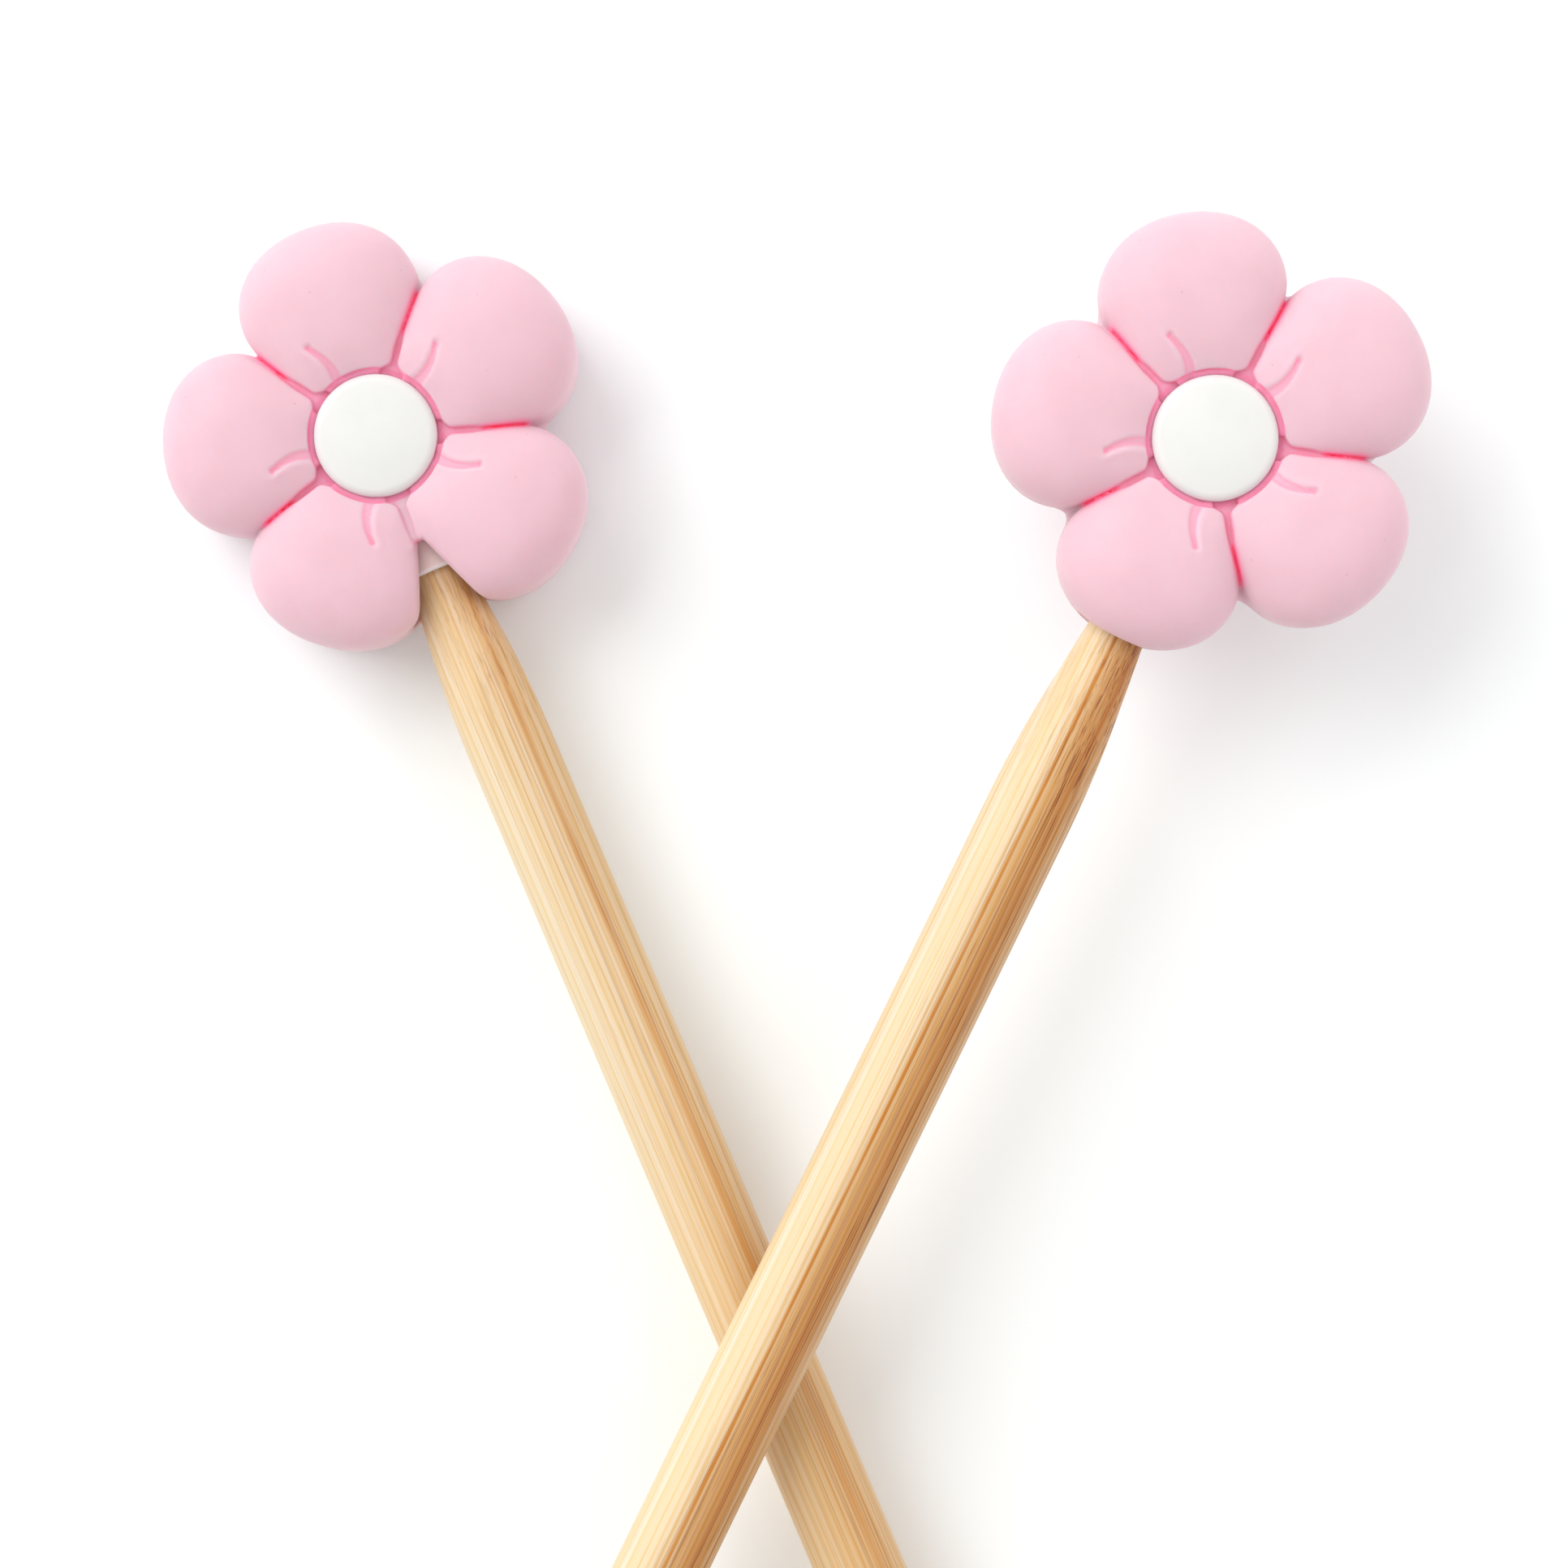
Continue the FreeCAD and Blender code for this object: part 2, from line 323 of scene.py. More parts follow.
def arc(centre, radius, start, end, steps):
    """Points of an arc of an outline, its angles in degrees from the +X axis."""
    angles = np.radians(np.linspace(start, end, steps + 1))
    return [(centre[0] + radius * math.cos(a), centre[1] + radius * math.sin(a)) for a in angles]


def stations(start, end, steps):
    """Evenly spaced points of a straight run of an outline, both ends left out."""
    shares = np.linspace(0, 1, steps + 1)[1:-1]
    return [tuple(np.array(start) + share * (np.array(end) - start)) for share in shares]


def fill_pinches(values):
    """Fills corners of a grid until none of its faces has them inside on one diagonal only.

    The net would get an edge with four faces there, where two sheets of the surface touch.
    """
    filled = np.ones(values.shape, dtype=bool)
    while filled.any():
        inside = values < 0
        filled = np.zeros(values.shape, dtype=bool)
        for axes in ((0, 1), (0, 2), (1, 2)):
            here = np.moveaxis(inside, axes, (0, 1))
            fill = np.moveaxis(filled, axes, (0, 1))
            one, two = here[:-1, :-1], here[1:, :-1]
            three, four = here[:-1, 1:], here[1:, 1:]
            fill[1:, :-1] |= one & four & ~two & ~three
            fill[:-1, :-1] |= two & three & ~one & ~four
        values = np.where(filled, -FILLED_DEPTH, values)
    return values


def surface_net(field, low, high, step):
    """A closed quad mesh of the surface where the field is zero, negative inside.

    Each grid cell that the surface crosses holds one point, and each grid edge it crosses one face.
    """
    counts = np.ceil((np.array(high) - low) / step).astype(int) + 1
    axes = [low[i] + step * np.arange(counts[i]) for i in range(3)]
    grid = np.stack(np.meshgrid(*axes, indexing="ij"), axis=-1).reshape(-1, 3)
    values = fill_pinches(field(grid).reshape(counts))
    inside = values < 0

    corners = [np.array((i, j, k)) for i in (0, 1) for j in (0, 1) for k in (0, 1)]
    shape = counts - 1
    filled = sum(
        inside[c[0]:c[0] + shape[0], c[1]:c[1] + shape[1], c[2]:c[2] + shape[2]].astype(int)
        for c in corners
    )
    crossed = (filled > 0) & (filled < 8)
    cells = np.argwhere(crossed)
    number = np.full(crossed.shape, -1)
    number[crossed] = np.arange(len(cells))

    total = np.zeros((len(cells), 3))
    hits = np.zeros(len(cells))
    for first in corners:
        for second in corners:
            if (second - first).sum() != 1 or (second < first).any():
                continue
            one = values[tuple((cells + first).T)]
            two = values[tuple((cells + second).T)]
            crossing = (one < 0) != (two < 0)
            share = np.where(crossing, one / np.where(crossing, one - two, 1), 0)
            place = first + share[:, None] * (second - first)
            total += np.where(crossing[:, None], place, 0)
            hits += crossing
    points = np.array(low) + step * (cells + total / hits[:, None])

    faces = []
    for along in range(3):
        side, other = np.eye(3, dtype=int)[[(along + 1) % 3, (along + 2) % 3]]
        near = np.take(inside, np.arange(counts[along] - 1), axis=along)
        far = np.take(inside, np.arange(1, counts[along]), axis=along)
        nodes = np.argwhere(near != far)
        entering = near[tuple(nodes.T)]
        quads = np.stack(
            [number[tuple((nodes - shift).T)] for shift in (0 * side, side, side + other, other)],
            axis=1,
        )
        faces.append(np.where(entering[:, None], quads, quads[:, ::-1]))
    return points, np.concatenate(faces)


def slope(field, points):
    """The field's gradient at the points."""
    rises = [field(points + s) - field(points - s) for s in SLOPE_REACH * np.eye(3)]
    return np.stack(rises, axis=1) / (2 * SLOPE_REACH)


def settle(field, points, faces, longest):
    """Moves a net's points onto the surface and evens out their spacing along it."""
    edges = np.concatenate([faces[:, [i, (i + 1) % 4]] for i in range(4)])
    edges = np.concatenate([edges, edges[:, ::-1]])
    degree = np.bincount(edges[:, 0], minlength=len(points))[:, None]
    for turn in range(SETTLE_ROUNDS):
        gradient = slope(field, points)
        size = np.maximum(np.linalg.norm(gradient, axis=1), LEAST_SLOPE)[:, None]
        normal = gradient / size
        move = -field(points)[:, None] / size * normal
        length = np.linalg.norm(move, axis=1)[:, None]
        points = points + move * np.minimum(1, longest / np.maximum(length, 1e-9))
        if turn < EVENING_ROUNDS:
            mean = np.stack(
                [np.bincount(edges[:, 0], points[edges[:, 1], i], len(points)) for i in range(3)],
                axis=1,
            ) / degree
            drift = mean - points
            drift = drift - (drift * normal).sum(1)[:, None] * normal
            points = points + EVENING_SHARE * drift
    return points


# The flower


def smooth_min(a, b, radius):
    """The lower of two fields, blended where they differ by less than the radius."""
    share = np.maximum(radius - np.abs(a - b), 0) / radius
    return np.minimum(a, b) - share * share * radius / 4


def smooth_max(a, b, radius):
    return -smooth_min(-a, -b, radius)


def ramp(value, start, end):
    """From 0 at the start to 1 at the end, smoothly."""
    share = np.clip((value - start) / (end - start), 0, 1)
    return share * share * (3 - 2 * share)


def hump(value, middle, half):
    """1 at the middle, falling away on both sides."""
    return np.exp(-((value - middle) / half) ** 2)


def petal_field(out, side, height):
    """One puffed petal: a blunt tip, a widest place and a narrowing run inwards."""
    beyond = np.maximum(out - PETAL_WIDEST_AT, 0) / PETAL_BLUNT_LENGTH
    inward = np.maximum(PETAL_WIDEST_AT - out, 0)
    narrowing = INWARD_NARROWING * (np.sqrt(inward ** 2 + INWARD_EASE ** 2) - INWARD_EASE)
    half_width = PETAL_HALF_WIDTH * np.maximum(1 - narrowing, LEAST_WIDTH)
    plan = beyond ** PETAL_ROUNDNESS + (np.abs(side) / half_width) ** PETAL_ROUNDNESS
    plan = plan ** (1 / PETAL_ROUNDNESS)
    fall = np.maximum(PETAL_WIDEST_AT - np.hypot(out, side), 0) / INWARD_FALL
    crest = np.maximum(1 - fall ** INWARD_ROUNDNESS, LEAST_CREST) ** (1 / INWARD_ROUNDNESS)
    crest = PETAL_CREST * crest
    rise = height - PETAL_RIM_HEIGHT
    power = np.where(rise > 0, PETAL_CROWN, PETAL_SIDE)
    upright = np.abs(rise) / np.where(rise > 0, crest, PETAL_KEEL)
    body = (plan ** power + upright ** power) ** (1 / power) - 1
    return np.maximum(PETAL_CREST * body, PETAL_STARTS_AT - out)


def crease_shape(out, side):
    """How far outside a petal's curling crease a place is, and how far past its far edge."""
    along = np.clip(out - CREASE_START, 0, CREASE_LENGTH)
    middle = CREASE_SIDE + CREASE_CURL * along ** 2
    half = CREASE_HALF_WIDTH - CREASE_TAPER * along
    past = np.maximum(out - CREASE_START - CREASE_LENGTH, 0)
    return np.hypot(side - middle, past) - half, side - middle - half


def crease_dent(out, side):
    """How deep the crease dents a petal, and the swelling beside it."""
    away, beyond = crease_shape(out, side)
    lip = hump(beyond, LIP_FROM_CREASE, LIP_HALF_WIDTH) * ramp(out, *LIP_ZONE)
    return CREASE_DEPTH * ramp(away, *CREASE_WALL) - LIP_RISE * lip


def seam_cut(radius, side, height, wide=False):
    """The groove between two petals where they press together, flaring where it meets the ring."""
    flare = np.clip(1 - (radius - RECESS_RADIUS) / SEAM_FLARE, 0, 1)
    half = SEAM_HALF_WIDTH * (1 - SEAM_CLOSING * ramp(radius, *SEAM_CLOSING_ZONE))
    half = half + SEAM_FLARE * flare ** 2
    floor = SEAM_FLOOR - SEAM_DROP * ramp(radius, *SEAM_DROP_ZONE)
    if wide:
        half = half + NOTCH_SEAM_WIDER
        floor = floor + NOTCH_SEAM_HIGHER
    return np.maximum(SEAM_STEEPNESS * (np.abs(side) - half), floor - height)


def turned(points, angle):
    """How far out along a direction, and to its side, the points are."""
    x, y = points[:, 0], points[:, 1]
    out = x * math.cos(angle) + y * math.sin(angle)
    return out, y * math.cos(angle) - x * math.sin(angle)


def petal_angles(plan):
    """The petals' directions, and those of the seams before them."""
    angles = [math.radians(angle) for angle in plan["petals"]]
    before = [angles[-1] - 2 * math.pi] + angles[:-1]
    return angles, [(one + two) / 2 for one, two in zip(before, angles)]


def off_centre(plan, radius):
    """How far a petal's points are moved off centre: not at all near the button."""
    return ramp(radius, *SHIFT_ZONE)[:, None] * np.array([*plan["petals_shift"], 0])


def add_bridge(body, x, y, height):
    """Closes the open notch near the button, a little above the seams' floor."""
    bridge = np.maximum(np.abs(y) - BRIDGE_HALF_WIDTH, height - SEAM_FLOOR - BRIDGE_OVER_SEAM)
    bridge = np.maximum(bridge, np.abs(x - BRIDGE_HALF_LENGTH) - BRIDGE_HALF_LENGTH)
    return smooth_min(body, bridge, BRIDGE_BLEND)


def cut_recess(body, radius, height):
    """The recess under the button, with the ring's higher floor round it."""
    step = (RING_FLOOR - RECESS_FLOOR) * ramp(radius, *RING_ZONE)
    recess = np.maximum(radius - RECESS_RADIUS, RECESS_FLOOR + step - height)
    return smooth_max(body, -recess, RECESS_EDGE)


def cut_bore(body, plan, points):
    """The hole for the sleeve, and the open notch past its end."""
    x, y, z = points.T
    hub_ends_at = plan["hub_ends_at"]
    widening = BORE_WIDENING * ramp(x, hub_ends_at - BORE_STEP, hub_ends_at + BORE_STEP)
    bore = SLEEVE_RADIUS + BORE_ROOM + widening
    channel = np.maximum(np.hypot(y, z) - bore, plan["mouth_at"] - SLEEVE_LENGTH - x)
    body = smooth_max(body, -channel, BORE_EDGE)
    if plan["open_notch"]:
        opening = np.maximum(np.abs(y) - NOTCH_SLOPE * (x - NOTCH_STARTS_AT), -z)
        opening = np.maximum(opening, hub_ends_at - x)
        body = smooth_max(body, -opening, NOTCH_EDGE)
    return body


def flower_field(plan):
    """The field of a whole flower, for points in its set frame."""
    angles, seams = petal_angles(plan)

    def field(points):
        x, y = points[:, 0], points[:, 1]
        height = points[:, 2] + AXIS_HEIGHT
        radius = np.hypot(x, y)
        moved = points - off_centre(plan, radius)
        blend = PETAL_BLEND + WEB_BLEND * ramp(height, *WEB_ZONE)
        upper = ramp(height, *CREASE_HEIGHTS)
        body = None
        for angle in angles:
            out, side = turned(moved, angle)
            petal = petal_field(out, side, height) + upper * crease_dent(out, side)
            body = petal if body is None else smooth_min(body, petal, blend)
        hub = smooth_max(radius - HUB_RADIUS, height - HUB_HEIGHT, HUB_BLEND)
        body = smooth_min(body, hub, HUB_BLEND)
        for number, angle in enumerate(seams):
            wide = plan["open_notch"] and number == 0
            if wide:
                body = add_bridge(body, x, y, height)
            out, side = turned(points, angle)
            seam = np.maximum(seam_cut(radius, side, height, wide), SEAM_STARTS_AT - out)
            body = smooth_max(body, -seam, SEAM_EDGE)
        body = smooth_max(body, -height, BACK_EDGE)
        body = cut_recess(body, radius, height)
        return cut_bore(body, plan, points)

    return field


def crease_painted_shade(out, side):
    """Painted shade in a crease, stronger along its rim and at its far end."""
    away = crease_shape(out, side)[0]
    inside = ramp(away, *CREASE_TINT_EDGE) * ramp(out, *CREASE_TINT_START)
    rim = hump(away, *CREASE_RIM_LINE) + CREASE_END_PART * ramp(out, *CREASE_END_ZONE)
    return inside * (CREASE_SHARE + CREASE_RIM_SHARE * rim)


def notch_painted_shade(out, side, height):
    """Painted shade in the open notch: its floor, a line along it and its far end."""
    across = np.abs(side)
    over = height - SEAM_FLOOR
    inside = ramp(across, *NOTCH_TINT_SIDES) * ramp(over, *NOTCH_TINT_HEIGHTS)
    end = ramp(out, *NOTCH_END_ZONE) * ramp(over, *NOTCH_END_HEIGHTS)
    end = end * ramp(across, *NOTCH_END_SIDES)
    floor = NOTCH_SHARE + NOTCH_LINE_SHARE * hump(side, *NOTCH_LINE)
    depth = np.maximum(inside * floor, NOTCH_END_SHARE * end)
    return depth * ramp(out, *SEAM_TINT_START) * ramp(out, *NOTCH_TINT_END)


def near_seam_painted_shade(out, side, radius, height):
    """Painted shade in the seam that is cut into the petals near the ring."""
    inside = ramp(seam_cut(radius, side, height + NEAR_SEAM_WALL), *NEAR_SEAM_EDGE)
    depth = NEAR_SEAM_SHARE * inside * ramp(out, *SEAM_TINT_START)
    return depth * ramp(radius, *NEAR_SEAM_END)


def far_seam_painted_shade(out, side):
    """Painted shade further out, where the petals' sides only touch: a line in a soft band."""
    line = FAR_BAND_SHARE * hump(side, *FAR_BAND) + FAR_LINE_SHARE * hump(side, *FAR_LINE)
    return line * (ramp(out, *FAR_SEAM_START) * ramp(out, *FAR_SEAM_END))


def painted_shade_share(plan, points):
    """How strong the painted shade is at each point of a flower, in its creases, seams and ring."""
    angles, seams = petal_angles(plan)
    height = points[:, 2] + AXIS_HEIGHT
    radius = np.hypot(points[:, 0], points[:, 1])
    moved = points - off_centre(plan, radius)
    share = np.zeros(len(points))
    for angle in angles:
        share = np.maximum(share, crease_painted_shade(*turned(points, angle)))
    for number, angle in enumerate(seams):
        out, side = turned(points, angle)
        if plan["open_notch"] and number == 0:
            share = np.maximum(share, notch_painted_shade(out, side, height))
        else:
            share = np.maximum(share, near_seam_painted_shade(out, side, radius, height))
            share = np.maximum(share, far_seam_painted_shade(*turned(moved, angle)))
    share *= ramp(height, *SIDE_TINT_ZONE)
    ring = ramp(height, *RING_TINT_TOP) * ramp(height, *RING_TINT_BOTTOM)
    ring *= ramp(radius, *RING_TINT_WALL)
    return np.maximum(share, RING_SHARE * ring)


def make_flower(name, plan, material):
    field = flower_field(plan)
    reach = PETAL_WIDEST_AT + PETAL_BLUNT_LENGTH + NET_MARGIN
    low = (-reach, -reach, -AXIS_HEIGHT - NET_MARGIN)
    high = (reach, reach, AXIS_HEIGHT + NET_MARGIN)
    points, faces = surface_net(field, low, high, NET_STEP)
    points = settle(field, points, faces, NET_STEP / 2)
    piece = add_piece(name + "_petals", points, faces.tolist(), material, name,
                      name + "_stopper", name + "_flower")
    # Painted shade for each point, kept as an attribute for the silicone's colour
    painted_shade = piece.data.attributes.new("painted_shade", "FLOAT", "POINT")
    painted_shade.data.foreach_set("value", painted_shade_share(plan, points).astype(np.float32))


# The turned pieces


def button_outline():
    """The button's outline along its own axis, from its flat bottom to its domed top."""
    bottom = RECESS_FLOOR - AXIS_HEIGHT
    top = BUTTON_TOP - AXIS_HEIGHT
    flat = BUTTON_RADIUS - BUTTON_EDGE
    edge = arc((top - BUTTON_RISE - BUTTON_EDGE, flat), BUTTON_EDGE, 90, 0, steps=10)
    sphere = (flat ** 2 + BUTTON_RISE ** 2) / (2 * BUTTON_RISE)
    dome = []
    for radius in np.linspace(flat, 0, 25)[1:]:
        dome.append((top - sphere + math.sqrt(sphere ** 2 - radius ** 2), radius))
    return [(bottom, 0), (bottom, flat), (bottom, BUTTON_RADIUS)] + edge + dome


def make_button(name, material):
    points, faces = lathe(button_outline(), BUTTON_SEGMENTS)
    upright = [(y, z, x) for x, y, z in points]
    add_piece(name + "_centre", upright, faces, material, name,
              name + "_stopper", name + "_button")


def point_cone_radius():
    """The radius that the taper's cone would have at the very point."""
    ease_radius = EASE_LENGTH / math.sin(TAPER_HALF_ANGLE)
    cone_radius = SHAFT_RADIUS - ease_radius * (1 - math.cos(TAPER_HALF_ANGLE))
    return cone_radius - (TAPER_LENGTH - EASE_LENGTH) * math.tan(TAPER_HALF_ANGLE)


def sleeve_outline(plan):
    """The sleeve's closed outline: outside, rounded lip and tapered bore."""
    mouth = plan["mouth_at"]
    back = mouth - SLEEVE_LENGTH
    mouth_radius = point_cone_radius() + SLEEVE_GRIP * math.tan(TAPER_HALF_ANGLE)
    mouth_radius += SLEEVE_CLEARANCE
    depth = SLEEVE_GRIP + SLEEVE_END_ROOM
    end_radius = mouth_radius - depth * math.tan(TAPER_HALF_ANGLE)
    lip = SLEEVE_LIP
    outline = [(back, 0), (back, SLEEVE_RADIUS - lip)]
    outline += arc((back + lip, SLEEVE_RADIUS - lip), lip, 180, 90, steps=5)[1:]
    outline += arc((mouth - lip, SLEEVE_RADIUS - lip), lip, 90, 0, steps=6)
    outline += [(mouth, mouth_radius), (mouth - depth, end_radius), (mouth - depth, 0)]
    return outline


def make_sleeve(name, plan, material):
    points, faces = lathe(sleeve_outline(plan), SLEEVE_SEGMENTS)
    add_piece(name + "_socket", points, faces, material, name,
              name + "_stopper", name + "_sleeve")


def knob_front(point_at):
    """Where the knob starts, and where its ball's centre is."""
    reach = math.sqrt(KNOB_RADIUS ** 2 - KNOB_COLLAR_RADIUS ** 2)
    ball = point_at + NEEDLE_LENGTH - KNOB_RADIUS
    return ball - reach - KNOB_COVE_LENGTH - KNOB_COLLAR_LENGTH, ball


def shaft_outline(plan):
    """The shaft's outline: a rounded point, a cone, a curve into the full size and the rod."""
    start = plan["point_at"]
    tilt = math.degrees(TAPER_HALF_ANGLE)
    point_radius = point_cone_radius() * math.cos(TAPER_HALF_ANGLE)
    point_radius /= 1 - math.sin(TAPER_HALF_ANGLE)
    ease_radius = EASE_LENGTH / math.sin(TAPER_HALF_ANGLE)
    end = knob_front(start)[0] + KNOB_SOCKET_DEPTH
    nose = arc((start + point_radius, 0), point_radius, 180, 90 + tilt, steps=16)
    full = start + TAPER_LENGTH
    ease = arc((full, SHAFT_RADIUS - ease_radius), ease_radius, 90 + tilt, 90, steps=16)
    outline = nose + stations(nose[-1], ease[0], steps=24) + ease
    outline += stations(ease[-1], (end, SHAFT_RADIUS), steps=60)
    return outline + [(end, SHAFT_RADIUS), (end, 0)]


def make_shaft(name, plan, material):
    outline = [(along, abs(radius)) for along, radius in shaft_outline(plan)]
    points, faces = lathe(outline, SHAFT_SEGMENTS)
    add_piece(name + "_rod", points, faces, material, name,
              name + "_needle", name + "_shaft")


def knob_outline(plan):
    """The knob's closed outline: bored collar, cove and ball, with softened edges."""
    front, ball = knob_front(plan["point_at"])
    edge, half_edge = KNOB_EDGE, KNOB_EDGE / 2
    collar_end = front + KNOB_COLLAR_LENGTH
    cove_end = collar_end + KNOB_COVE_LENGTH
    half = KNOB_COVE_LENGTH / 2
    cove_radius = (half ** 2 + KNOB_COVE_DEPTH ** 2) / (2 * KNOB_COVE_DEPTH)
    swing = math.degrees(math.asin(half / cove_radius))
    cove_centre = ((collar_end + cove_end) / 2, KNOB_COLLAR_RADIUS - KNOB_COVE_DEPTH + cove_radius)
    rim = SHAFT_RADIUS + KNOB_SOCKET_ROOM
    outline = [(front, rim), (front, KNOB_COLLAR_RADIUS - edge)]
    outline += arc((front + edge, KNOB_COLLAR_RADIUS - edge), edge, 180, 90, steps=5)[1:]
    outline += arc((collar_end - half_edge, KNOB_COLLAR_RADIUS - half_edge), half_edge,
                   90, 45, steps=3)
    outline += arc(cove_centre, cove_radius, 270 - swing * KNOB_COVE_TURNED[0],
                   270 + swing * KNOB_COVE_TURNED[1], steps=10)
    ball_start = 180 - math.degrees(math.asin(KNOB_COLLAR_RADIUS / KNOB_RADIUS))
    outline += arc((ball, 0), KNOB_RADIUS, ball_start - KNOB_BALL_EDGE, 0, steps=56)[:-1]
    socket_end = front + KNOB_SOCKET_DEPTH
    outline += [(ball + KNOB_RADIUS, 0), (socket_end, 0), (socket_end, rim)]
    return outline


def make_knob(name, plan, material):
    points, faces = lathe(knob_outline(plan), SHAFT_SEGMENTS, closed=True)
    faces = [face for face in faces if len(face) > 2]
    add_piece(name + "_ball", points, faces, material, name,
              name + "_needle", name + "_knob")


# Materials


class Nodes:
    """Builds one material's nodes, each call adding a node and returning its main output."""

    def __init__(self, name):
        self.material = bpy.data.materials.new(name)
        self.material.use_nodes = True
        self.tree = self.material.node_tree
        self.shader = self.tree.nodes["Principled BSDF"]

    def add(self, kind, inputs=None, **settings):
        node = self.tree.nodes.new("ShaderNode" + kind)
        for key, value in settings.items():
            setattr(node, key, value)
        for key, value in (inputs or {}).items():
            self.put(node.inputs[key], value)
        return node

    def put(self, socket, value):
        if isinstance(value, bpy.types.NodeSocket):
            self.tree.links.new(value, socket)
        else:
            socket.default_value = value

    def coordinates(self, scale, offset=(0, 0, 0)):
        """The piece's own coordinates, in millimetres times a scale for each axis."""
        source = self.add("TexCoord").outputs["Object"]
        factors = [factor / MM for factor in scale]
        place = {"Vector": source, "Scale": factors, "Location": offset}
        return self.add("Mapping", place).outputs["Vector"]

    def noise(self, vector, scale, detail, rough=0.5):
        inputs = {"Vector": vector, "Scale": scale, "Detail": detail, "Roughness": rough}
        return self.add("TexNoise", inputs).outputs["Fac"]

    def span(self, value, low, high, to_low=0.0, to_high=1.0, smooth=True):
        kind = "SMOOTHSTEP" if smooth else "LINEAR"
        inputs = {"Value": value, "From Min": low, "From Max": high, "To Min": to_low,
                  "To Max": to_high}
        return self.add("MapRange", inputs, interpolation_type=kind).outputs["Result"]

    def mix(self, share, first, second, blend="MIX"):
        node = self.add("Mix", data_type="RGBA", blend_type=blend)
        self.put(node.inputs[0], share)
        self.put(node.inputs[6], first if not isinstance(first, tuple) else (*first, 1))
        self.put(node.inputs[7], second if not isinstance(second, tuple) else (*second, 1))
        return node.outputs[2]

    def math(self, operation, first, second=0.0):
        return self.add("Math", {0: first, 1: second}, operation=operation).outputs[0]

    def bump(self, height, strength, distance):
        inputs = {"Height": height, "Strength": strength, "Distance": distance * MM}
        return self.add("Bump", inputs).outputs["Normal"]

    def finish(self, **inputs):
        for key, value in inputs.items():
            self.put(self.shader.inputs[key.replace("_", " ")], value)
        return self.material


def linear(red, green, blue):
    """A colour given as 0 to 255 screen values, as the linear light that shaders use."""
    parts = [value / 255 for value in (red, green, blue)]
    return tuple(((p + 0.055) / 1.055) ** 2.4 if p > 0.04045 else p / 12.92 for p in parts)


PETAL_PINK = (linear(228, 191, 202), linear(226, 188, 199))
# Painted shade: the deeper and the deepest pink that shade and light bouncing between the pink walls
# give in the hollows
PETAL_PAINTED_SHADE = (linear(246, 152, 184), linear(255, 44, 96))
PETAL_SCATTER = (1.0, 0.35, 0.45)
PAINTED_SHADE_STEPS = ((0.05, 0.5), (0.5, 1.0))    # depths over which each painted shade colour comes in
BUTTON_WHITE = (linear(226, 226, 223), linear(223, 224, 221))
BUTTON_SCATTER = (1.0, 0.9, 0.85)
DUST = linear(150, 110, 115)
DUST_STRENGTH = 0.18
DUST_SPREAD = 0.55
DUST_SIZE = (0.03, 0.05)
CLOUD_ZONE = (0.35, 0.65)   # of a noise's value, from one tone to the other
SLEEVE_BODY = (linear(244, 222, 216), linear(236, 208, 204))
# Painted light: the paler colour of the thin lip, standing in for light glowing through the silicone
# there
SLEEVE_LIP_GLOW = linear(244, 230, 230)
SLEEVE_LIP_ZONE = (0.3, 0.15)   # from its mouth
FLOOR_WHITE = (linear(248, 251, 251), linear(249, 252, 252))

BAMBOO_PALE = linear(231, 216, 192)
BAMBOO_BODY = linear(226, 204, 166)
# The colour that the painted side shade darkens the bamboo to
BAMBOO_SHADE_TAN = linear(200, 145, 84)
# What a warmer stretch, a stripe, a hairline and a golden line leave of the colour under them
WARM_TINT = (0.95, 0.8, 0.6)
STRIPE_TINT = (0.95, 0.8, 0.46)
HAIRLINE_TINT = (0.5, 0.3, 0.17)
GOLDEN_TINT = (0.82, 0.5, 0.12)
# Each grain pattern's squeeze along X, Y and Z, its scale and its detail
GRAIN = {
    "broad": ((0.004, 1, 0.4), 1.3, 2),
    "bands": ((0.002, 1, 0.3), 5.0, 1),
    "lines": ((0.003, 1, 0.5), 12.0, 1),
    "fibres": ((0.02, 1, 1), 9.0, 2),
    "blotch": ((0.12, 0.5, 0.5), 1.0, 2),
}
STRIPES_SQUEEZE = (0.003, 1, 0.3)
STRIPES = {"Scale": 0.72, "Distortion": 5.0, "Detail": 2.0, "Detail Scale": 1.2}
# Each pattern's start and end, its strength on the paler side and on the side darkened by painted
# shade, and its tint
MARKS = {
    "bands": (0.45, 0.62, 0.25, 0.6, STRIPE_TINT),
    "stripes": (0.6, 0.95, 0.55, 0.95, STRIPE_TINT),
    "lines": (0.58, 0.63, 0.12, 0.9, HAIRLINE_TINT),
    "fibres": (0.61, 0.68, 0.15, 0.7, HAIRLINE_TINT),
}
PAINTED_BOUNCE_EDGE = (1.4, 2.6, 0.6)  # painted bounce light: where the painted side shade starts to pale again at the far edge, where it has, and how far
GOLD_CORE = 0.3             # share of a golden line's half width at full strength
GRAIN_HEIGHT = 0.03         # of the bump, in millimetres
FIBRE_DIP = 0.4
BAMBOO_GLOSS_ZONE = (0.3, 0.7)
BAMBOO_ROUGHNESS = (0.4, 0.52)


